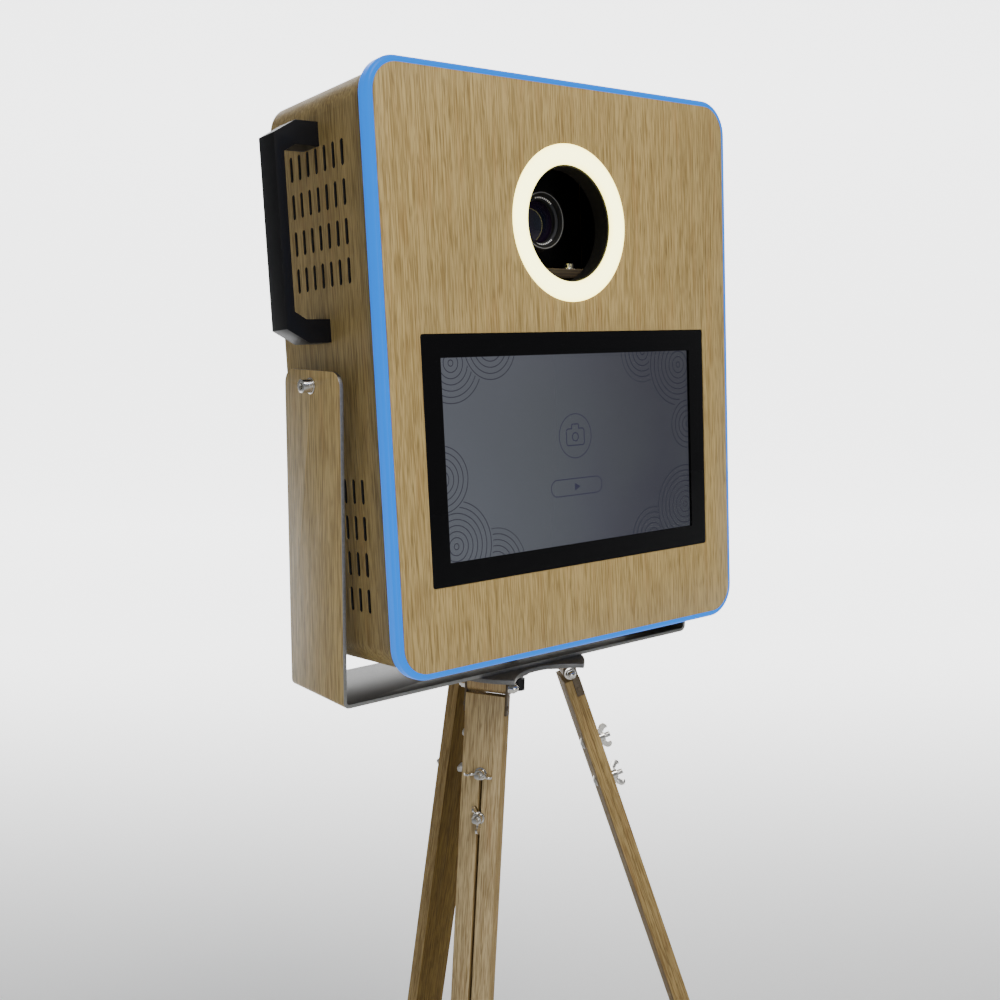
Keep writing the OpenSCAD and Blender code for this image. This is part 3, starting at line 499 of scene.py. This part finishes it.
f = Finish("display_picture", cabinet_place)
# Painted reflection: the display's dim grey is brightened towards the left and in soft patches, and
# darker towards the right.
painted_reflection_across = f.x.ramp(-image_half_w, image_half_w)
high = (f.z - screen_z).ramp(-image_half_h, image_half_h)
painted_reflection_patches = f.noise(f.point, 5, 2)
ground = f.mix(painted_reflection_across, (0.160, 0.170, 0.205), (0.050, 0.049, 0.070))
ground = f.mix(painted_reflection_patches.ramp(0.35, 0.7) * 0.35, ground, (0.105, 0.122, 0.125))
ground = f.mix(high * 0.25, ground, (0.085, 0.090, 0.094))
ink = (0.022, 0.020, 0.042)
sets = [(-1, -1, 0.17, -0.02, 0.038), (-1, -1, 0.03, 0.03, 0.046), (-1, -1, -0.01, 0.16, 0.034),
        (1, 1, -0.20, 0.0, 0.032), (1, 1, -0.04, -0.03, 0.046), (1, 1, 0.0, -0.16, 0.030),
        (1, -1, -0.17, -0.01, 0.036), (1, -1, -0.02, 0.05, 0.044), (-1, 1, 0.04, -0.01, 0.042),
        (-1, 1, 0.18, 0.02, 0.034)]
picture = ground
for side, edge, in_x, in_z, size in sets:
    centre_x = side * image_half_w + in_x * 0.35
    centre_z = screen_z + edge * image_half_h + in_z * 0.5
    lines, disc = ring_set(f, centre_x, centre_z, size, 0.0058, 0.0010)
    picture = f.mix(disc, picture, ground)
    picture = f.mix(lines * 0.75, picture, ink)
sign_z = screen_z + 0.014
body_away = round_box(f, 0, sign_z - 0.001, 0.0125, 0.0085, 0.003)
hump_away = round_box(f, 0, sign_z + 0.009, 0.005, 0.003, 0.0015)
outline = body_away.least(hump_away)
sign = (abs(outline) < 0.0006).most(ring_line(f, 0, sign_z - 0.001, 0.0042, 0.0012))
sign = sign.most(ring_line(f, 0, sign_z, 0.0225, 0.0009))
bar_z = screen_z - 0.038
bar = abs(round_box(f, 0, bar_z, 0.036, 0.0085, 0.0085)) < 0.0005
arrow = (abs(f.z - bar_z) < (0.005 - f.x).most(0) * 0.5) * (f.x > -0.003)
picture = f.mix((sign.most(bar).most(arrow)) * 0.8, picture, (0.030, 0.028, 0.075))
display = f.finish(Base_Color=(0.01, 0.01, 0.012), Roughness=0.22, Emission_Color=picture,
                   Emission_Strength=0.9, Specular_IOR_Level=0.3)
dress("screen_panel", display)

f = Finish("bordered_glass", cabinet_place)
away = round_box(f, 0, screen_z, image_half_w, image_half_h, 0.0008)
border = away.ramp(-0.0002, 0.0002)
prints = f.noise(f.point, 26, 4, 0.65).ramp(0.45, 0.8)
bordered_glass = f.finish(Base_Color=(0.003, 0.003, 0.0035), Roughness=0.035 + prints * 0.07,
                          Alpha=border * 0.90 + 0.10, Specular_IOR_Level=0.16)
eased("touch_glass", 0.0005, bordered_glass, "cabinet", 3)

# ---------------------------------------------------------------------------
# Camera and lens
# A black digital camera on a shelf: stippled body, barrel with ribbed rubber rings, a printed
# front ring and a coated bulging lens. Ribs are cut in the rubber of both rings.
# ---------------------------------------------------------------------------
lens_front = 0.040
barrel_low, barrel_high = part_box("lens_barrel")
lens_radius = (barrel_high.x - barrel_low.x) / 2
lens_z = (cabinet_place.inverted() @ ((barrel_low + barrel_high) / 2)).z


def black_moulding(name, place, base=0.012, grain=1500, rough=0.5):
    """Moulded black plastic with a fine spark texture and shinier handled patches."""
    f = Finish(name, place)
    spark = f.noise(f.point, grain, 3, 0.55)
    rubbed = wear(f)
    pale = (base * 1.4, base * 1.4, base * 1.7)
    tone = f.mix(spark * 0.6 + rubbed * 0.3, (base * 0.6,) * 3, pale)
    return f.finish(Base_Color=tone, Roughness=rough - rubbed * 0.12 + (spark - 0.5) * 0.1,
                    Specular_IOR_Level=0.16, Normal=f.bump(spark, 0.00008, 0.55))


camera_plastic = black_moulding("camera_plastic", cabinet_place, 0.012, 1700, 0.5)
rubber_black = black_moulding("ring_rubber", cabinet_place, 0.010, 2400, 0.68)
eased("camera_body", 0.0012, camera_plastic, "cabinet", 3)
eased("shutter_button", 0.0005, zinc, "shutter_button")


f = Finish("barrel_black", cabinet_place)
radius = (f.x * f.x + (f.z - lens_z) * (f.z - lens_z)) ** 0.5
turned = abs(radius.mod(0.0011) - 0.00055) / 0.00055
inside = radius < lens_radius - 0.0035
# Painted highlight: a thin pale grey line round the barrel's front rim.
painted_rim_highlight = (abs(radius - lens_radius + 0.0012) < 0.0004) * (f.y < lens_front + 0.0006)
black = f.mix(turned * inside, (0.012, 0.012, 0.013), (0.004, 0.004, 0.004))
barrel_black = f.finish(Base_Color=f.mix(painted_rim_highlight, black, (0.20, 0.20, 0.21)), Specular_IOR_Level=0.2,
                        Roughness=0.44 + inside * 0.2,
                        Normal=f.bump(turned * inside, 0.0004, 0.8))
dress("lens_barrel", barrel_black)


class Tree:
    """A geometry tree with named inputs, ended by Realize Instances and Set Material."""

    def __init__(self, name, **inputs):
        self.tree = bpy.data.node_groups.new(name, "GeometryNodeTree")
        self.tree.interface.new_socket("Geometry", in_out="OUTPUT",
                                       socket_type="NodeSocketGeometry")
        kinds = {int: "NodeSocketInt", float: "NodeSocketFloat"}
        self.sizes = inputs
        for key, value in inputs.items():
            self.tree.interface.new_socket(key, in_out="INPUT", socket_type=kinds[type(value)])
        self.given = self.tree.nodes.new("NodeGroupInput")

    def add(self, kind, settings=None, **links):
        made = self.tree.nodes.new(kind)
        for key, value in (settings or {}).items():
            setattr(made, key, value)
        for key, value in links.items():
            socket = made.inputs[key.replace("_", " ")]
            if hasattr(value, "is_output"):
                self.tree.links.new(value, socket)
            else:
                socket.default_value = value
        return made

    def end(self, geometry, material):
        real = self.add("GeometryNodeRealizeInstances", Geometry=geometry)
        painted = self.add("GeometryNodeSetMaterial", Geometry=real.outputs[0], Material=material)
        out = self.tree.nodes.new("NodeGroupOutput")
        self.tree.links.new(painted.outputs[0], out.inputs[0])
        return self

    def grow(self, name, place):
        """Runs the tree, and returns its result as a plain mesh piece moved to its place."""
        piece = put_object(name, bpy.data.meshes.new(name))
        modifier = piece.modifiers.new("grown", "NODES")
        modifier.node_group = self.tree
        for item in self.tree.interface.items_tree:
            if item.in_out == "INPUT":
                modifier[item.identifier] = self.sizes[item.name]
        graph = bpy.context.evaluated_depsgraph_get()
        mesh = bpy.data.meshes.new_from_object(piece.evaluated_get(graph), depsgraph=graph)
        piece.modifiers.clear()
        mesh.transform(place)
        mesh.update()
        piece.data = mesh
        return piece


def ribbed_ring(name, count, radius, rib, material, place):
    """Small bars standing round a circle in the XY plane, each as long as rib's last size."""
    tree = Tree(name + "_tree", Ribs=count, Radius=radius)
    circle = tree.add("GeometryNodeMeshCircle", Vertices=tree.given.outputs["Ribs"],
                      Radius=tree.given.outputs["Radius"])
    bar = tree.add("GeometryNodeMeshCube", Size=rib)
    where = tree.add("GeometryNodeInputPosition")
    turn = tree.add("FunctionNodeAlignRotationToVector", {"axis": "X"}, Vector=where.outputs[0])
    bars = tree.add("GeometryNodeInstanceOnPoints", Points=circle.outputs[0],
                    Instance=bar.outputs[0], Rotation=turn.outputs[0])
    return tree.end(bars.outputs[0], material).grow(name, place)


def lens_place(depth):
    """Where a ring on the lens axis goes, its own Z running into the cabinet."""
    axis = Matrix.Translation((0, depth, lens_z)) @ Matrix.Rotation(-math.pi / 2, 4, "X")
    return cabinet_place @ axis


eased("zoom_ring", 0.0003, rubber_black, "zoom_ring", 1)
focus_ribs = ribbed_ring("focus_ribs", 90, lens_radius + 0.0002, (0.0010, 0.0012, 0.009),
                         rubber_black, lens_place(lens_front + 0.0075))
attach(focus_ribs, "cabinet")

f = Finish("coated_lens", cabinet_place)
radius = (f.x * f.x + (f.z - lens_z) * (f.z - lens_z)) ** 0.5
# Painted reflection: the dark glass is tinted blue in the middle and purple towards its rim,
# standing in for the coating's coloured reflections.
painted_coating_reflection = f.mix(radius.ramp(0.004, 0.021), (0.004, 0.006, 0.014), (0.012, 0.006, 0.018))
coated_lens = f.finish(Base_Color=painted_coating_reflection, Roughness=0.05, Specular_IOR_Level=0.5)


def turned_ring(name, outline, place):
    """A solid ring turned from a closed outline of (radius, height) points."""
    steps = 96
    verts, faces = [], []
    count = len(outline)
    for i in range(steps):
        turn = 2 * math.pi * i / steps
        for r, h in outline:
            verts.append(place @ Vector((r * math.cos(turn), r * math.sin(turn), h)))
    for i in range(steps):
        for k in range(count):
            a, b = i * count + k, i * count + (k + 1) % count
            c, d = ((i + 1) % steps) * count + (k + 1) % count, ((i + 1) % steps) * count + k
            faces.append((a, b, c, d))
    piece = put_object(name, mesh_from(verts, faces, name))
    work = bmesh.new()
    work.from_mesh(piece.data)
    bmesh.ops.recalc_face_normals(work, faces=work.faces)
    work.to_mesh(piece.data)
    work.free()
    piece.data.shade_smooth()
    piece.data.set_sharp_from_angle(angle=smooth_up_to)
    return piece


glass_radius = lens_radius - 0.0077
bulge = 0.0050
middle_hole = 0.00002
cap = [(max(glass_radius * k / 12, middle_hole), -bulge * (1 - (k / 12) ** 2)) for k in range(13)]
lens_glass = turned_ring("lens_glass", [(middle_hole, 0.0001)] + cap, lens_place(0.0499))
lens_glass.data.materials.append(coated_lens)
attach(lens_glass, "cabinet")
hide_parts("lens_front_element")

f = Finish("name_ring", cabinet_place)
away = (f.x * f.x + (f.z - lens_z) * (f.z - lens_z)) ** 0.5
angle = f.node("ShaderNodeMath", {"operation": "ARCTAN2"}, f.z - lens_z, f.x)
ticks = (angle.mod(math.radians(6)) < math.radians(3)) * (abs(abs(angle) - 1.35) < 0.5)
ticks = ticks * (abs(away - (lens_radius - 0.0055)) < 0.0008)
name_ring_paint = f.finish(Base_Color=f.mix(ticks, (0.016, 0.017, 0.022), (0.75, 0.75, 0.78)),
                           Roughness=0.55, Specular_IOR_Level=0.2)
front_outline = [(lens_radius - inset, depth) for inset, depth in
                 ((0.0041, 0.0012), (0.0043, 0.0036), (0.0068, 0.0046), (0.0074, 0.0052),
                  (0.0074, 0.0070), (0.0062, 0.0070), (0.0050, 0.0042))]
front_ring = turned_ring("lens_front_ring", front_outline, lens_place(lens_front))
front_ring.data.materials.append(name_ring_paint)
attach(front_ring, "cabinet")

# ---------------------------------------------------------------------------
# Camera shelf
# Birch plywood across the cabinet: its layers show at the front edge, where a plated bolt stands;
# its upright faces are darkened with painted shade.
# ---------------------------------------------------------------------------
f = Finish("plywood_shelf", cabinet_place)
colour, height = add_grain(f, f.z, f.y, f.x, (0.42, 0.27, 0.12), (0.68, 0.50, 0.28), 0.5)
layer = abs((f.z + 0.0002).mod(0.0030) - 0.0015) / 0.0015
upright = 1 - abs(f.facing(2)).ramp(0.6, 0.8)
shelf_top = (cabinet_place.inverted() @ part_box("camera_shelf")[1]).z
# Painted shade: the shelf's upright faces below its top are darkened to a near black brown; the
# alternating plies are its real layers.
shelf_front_painted_shade = (f.z < shelf_top - 0.0022) * upright
colour = f.mix(shelf_front_painted_shade, colour, f.mix(layer < 0.45, (0.052, 0.037, 0.020), (0.030, 0.020, 0.011)))
plywood = f.finish(Base_Color=colour, Roughness=0.5, Normal=f.bump(height, 0.0001, 0.5))
eased("camera_shelf", 0.0008, plywood, "cabinet")
eased("camera_screw", 0.0004, nickel, "cabinet")

# ---------------------------------------------------------------------------
# Electrics
# A small computer and a power supply on the cabinet's floor, a fan behind slots, and a mains
# inlet with a red rocker. The supply is bare alloy, the rest is black plastic.
# ---------------------------------------------------------------------------
device_plastic = black_moulding("device_plastic", cabinet_place, 0.016, 1200, 0.45)
for node in ("mini_computer", "power_inlet", "fan_frame"):
    eased(node, 0.0006, device_plastic, "cabinet")
eased("fan_rotor", 0.0003, device_plastic, "fan_rotor", 1)
bare_alloy = plated("bare_alloy", (0.42, 0.43, 0.44), (0.66, 0.67, 0.68), 0.38, cabinet_place)
eased("power_supply", 0.0006, bare_alloy, "cabinet")
f = Finish("red_rocker", cabinet_place)
scuff = f.noise(f.point, 700, 3)
red_plastic = f.finish(Base_Color=f.mix(scuff, (0.42, 0.025, 0.015), (0.60, 0.05, 0.03)),
                       Roughness=0.25 + scuff * 0.12)
eased("rocker_switch", 0.0005, red_plastic, "rocker_switch", 3)

# ---------------------------------------------------------------------------
# Carrying handles
# Angular loops moulded in black plastic with a fine leathery texture and softly rounded edges,
# bolted through the cabinet's sides.
# ---------------------------------------------------------------------------
handle_plastic = black_moulding("handle_plastic", cabinet_place, 0.007, 1100, 0.45)
for side in ("left", "right"):
    eased("handle_" + side, 0.0022, handle_plastic, "cabinet", 4)

# ---------------------------------------------------------------------------
# Yoke
# Steel strap bent to a U. The laminate is pressed on its outer faces only: the cut edges are
# bare grey steel and the inside is painted dark.
# ---------------------------------------------------------------------------
strap_low, strap_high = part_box("yoke_strap")
f = Finish("laminated_strap", upright_place)
colour, height = wrapped_grain(f, bamboo_dark, bamboo_light)
strap_outer = strap_high.x - tilt_axis.x
strap_under = strap_low.z - tilt_axis.z
outer = (abs(f.x) > strap_outer - skin_depth).most(f.z < strap_under + skin_depth)
bend = 0.007
bend_x = (abs(f.x) - (strap_outer - bend)).most(0)
bend_z = (strap_under + bend - f.z).most(0)
outer = outer.most((bend_x * bend_x + bend_z * bend_z) ** 0.5 > bend - skin_depth)
edge_face = abs(f.facing(1)) > 0.7
scale = f.noise(f.point, 260, 4, 0.6)
steel = f.mix(scale, (0.16, 0.16, 0.15), (0.32, 0.32, 0.30))
inner_paint = f.mix(scale, (0.035, 0.035, 0.033), (0.075, 0.075, 0.07))
bare = f.mix(edge_face, inner_paint, steel)
outer_skin = outer * (1 - edge_face)
strap_finish = f.finish(Base_Color=f.mix(outer_skin, bare, colour), Metallic=(1 - outer_skin) * 0.7,
                        Roughness=0.46 - outer_skin * 0.04 + (scale - 0.5) * 0.15,
                        Normal=f.bump(height * outer_skin + scale * (1 - outer_skin) * 0.4,
                                      0.00012, 0.6))
eased("yoke_strap", 0.0005, strap_finish, "yoke")
for node in ("pivot_bolts", "swivel_bolt"):
    eased(node, 0.0005, nickel, "yoke")

# ---------------------------------------------------------------------------
# Tripod head and pan knob
# Alloy casting in grey enamel, slightly rough from the mould, with a lobed plastic knob below.
# Its three lugs are faced with the legs' oak.
# ---------------------------------------------------------------------------
head_place = Matrix.Translation(Vector(joints["yoke_pan"]["pos_m"]))
f = Finish("grey_casting", head_place)
sand = f.noise(f.point, 620, 4, 0.6)
rubbed = wear(f)
enamel = f.mix(sand, (0.10, 0.10, 0.098), (0.19, 0.19, 0.18))
lugs = ((f.x * f.x + f.y * f.y) ** 0.5 > 0.0575) * (f.z < -0.0053)
wood, height = add_grain(f, f.x, f.y, f.z, (0.20, 0.125, 0.050), (0.38, 0.265, 0.115), 0.8)
grey_casting = f.finish(Base_Color=f.mix(lugs, enamel, wood), Metallic=(1 - lugs) * 0.5,
                        Roughness=0.5 - rubbed * 0.12, Normal=f.bump(sand, 0.00018, 0.6))
eased("tripod_head", 0.0012, grey_casting, "tripod_head", 3)
knob_plastic = black_moulding("knob_plastic", head_place, 0.015, 1300, 0.45)
eased("pan_knob", 0.0018, knob_plastic, "pan_knob", 3)

# ---------------------------------------------------------------------------
# Legs
# Each leg is two oak boards, one sliding behind the other, clamped by two carriage bolts with
# wing nuts. Plated cheeks hinge it to the head, and a rubber boot ends it.
# ---------------------------------------------------------------------------
azimuths = {"left": math.radians(-150), "right": math.radians(-30), "rear": math.radians(90)}


cheek_face = 0.0247


def hinge_metal(name, place):
    """Bronzed cheek plates, with bright washers and nuts outside them."""
    f = Finish(name, place)
    nut = (abs(f.y) > cheek_face) * (f.z > -0.0075)
    spangle = f.noise(f.point, 420, 4, 0.6)
    plate = f.mix(spangle, (0.07, 0.052, 0.032), (0.15, 0.115, 0.07))
    bright = f.mix(spangle, (0.46, 0.44, 0.41), (0.80, 0.78, 0.73))
    return f.finish(Base_Color=f.mix(nut, plate, bright), Metallic=nut * 0.5 + 0.5,
                    Roughness=0.5 - nut * 0.32 + spangle * 0.06,
                    Normal=f.bump(spangle, 0.00004, 0.5))


def oak_board(name, place, azimuth, seed):
    """Oak with the grain down the leg: golden edges, outer faces paled and greyed by a painted
    sheen, inner faces darkened by painted shade.
    """
    f = Finish(name, place)
    colour, height = add_grain(f, f.x + seed, f.y + seed, f.z + seed, (0.215, 0.140, 0.052),
                               (0.430, 0.305, 0.125), 0.8)
    outward = f.facing(0) * math.cos(azimuth) + f.facing(1) * math.sin(azimuth)
    # Painted sheen and shade: faces turned out from the tripod's middle are paled and greyed, and
    # faces turned in towards it are darkened.
    colour = f.mix(outward.ramp(0.4, 0.9), colour, (1.30, 1.42, 1.85), "MULTIPLY")
    colour = f.mix(outward.ramp(-0.4, -0.9), colour, (0.46, 0.42, 0.26), "MULTIPLY")
    rays = f.noise(f.xyz(f.x * 40, f.y * 320, f.z * 26), 1, 3).ramp(0.62, 0.75)
    colour = f.mix(rays * outward.ramp(-0.2, 0.5) * 0.25, colour, (0.50, 0.37, 0.22))
    soot = wear(f, 0.8)
    colour = f.mix(soot * 0.22, colour, (0.13, 0.085, 0.045))
    return f.finish(Base_Color=colour, Roughness=0.6 + soot * 0.1, Specular_IOR_Level=0.1,
                    Normal=f.bump(height, 0.0002, 0.6))


f = Finish("boot_rubber", None)
dust = f.noise(f.point, 90, 5, 0.65)
tread = f.noise(f.point, 1300, 2)
dusted = f.mix(dust.ramp(0.45, 0.8), (0.012, 0.012, 0.012), (0.06, 0.058, 0.055))
boot_rubber = f.finish(Base_Color=dusted, Roughness=0.75, Normal=f.bump(tread, 0.0001, 0.5))

for number, (side, azimuth) in enumerate(azimuths.items()):
    hinge = Vector(joints["leg_fold_" + side]["pos_m"])
    splay = math.acos(-joints["leg_extend_" + side]["axis"][2])
    leg_place = (Matrix.Translation(hinge) @ Matrix.Rotation(azimuth, 4, "Z")
                 @ Matrix.Rotation(-splay, 4, "Y"))
    upper_oak = oak_board("upper_oak_" + side, leg_place, azimuth, 0.13 * number)
    lower_oak = oak_board("lower_oak_" + side, leg_place, azimuth, 0.13 * number + 0.4)
    eased("upper_board_" + side, 0.0010, upper_oak, "upper_leg_" + side, 3)
    eased("lower_board_" + side, 0.0010, lower_oak, "lower_leg_" + side, 3)
    metal = hinge_metal("hinge_metal_" + side, leg_place)
    eased("leg_hinge_" + side, 0.0005, metal, "upper_leg_" + side)
    eased("clamp_bolts_" + side, 0.0004, zinc, "lower_leg_" + side)
    eased("boot_" + side, 0.0025, boot_rubber, "lower_leg_" + side, 3)
    for height_name in ("top", "low"):
        nut = f"wing_nut_{side}_{height_name}"
        eased(nut, 0.0007, nickel, nut, 3)
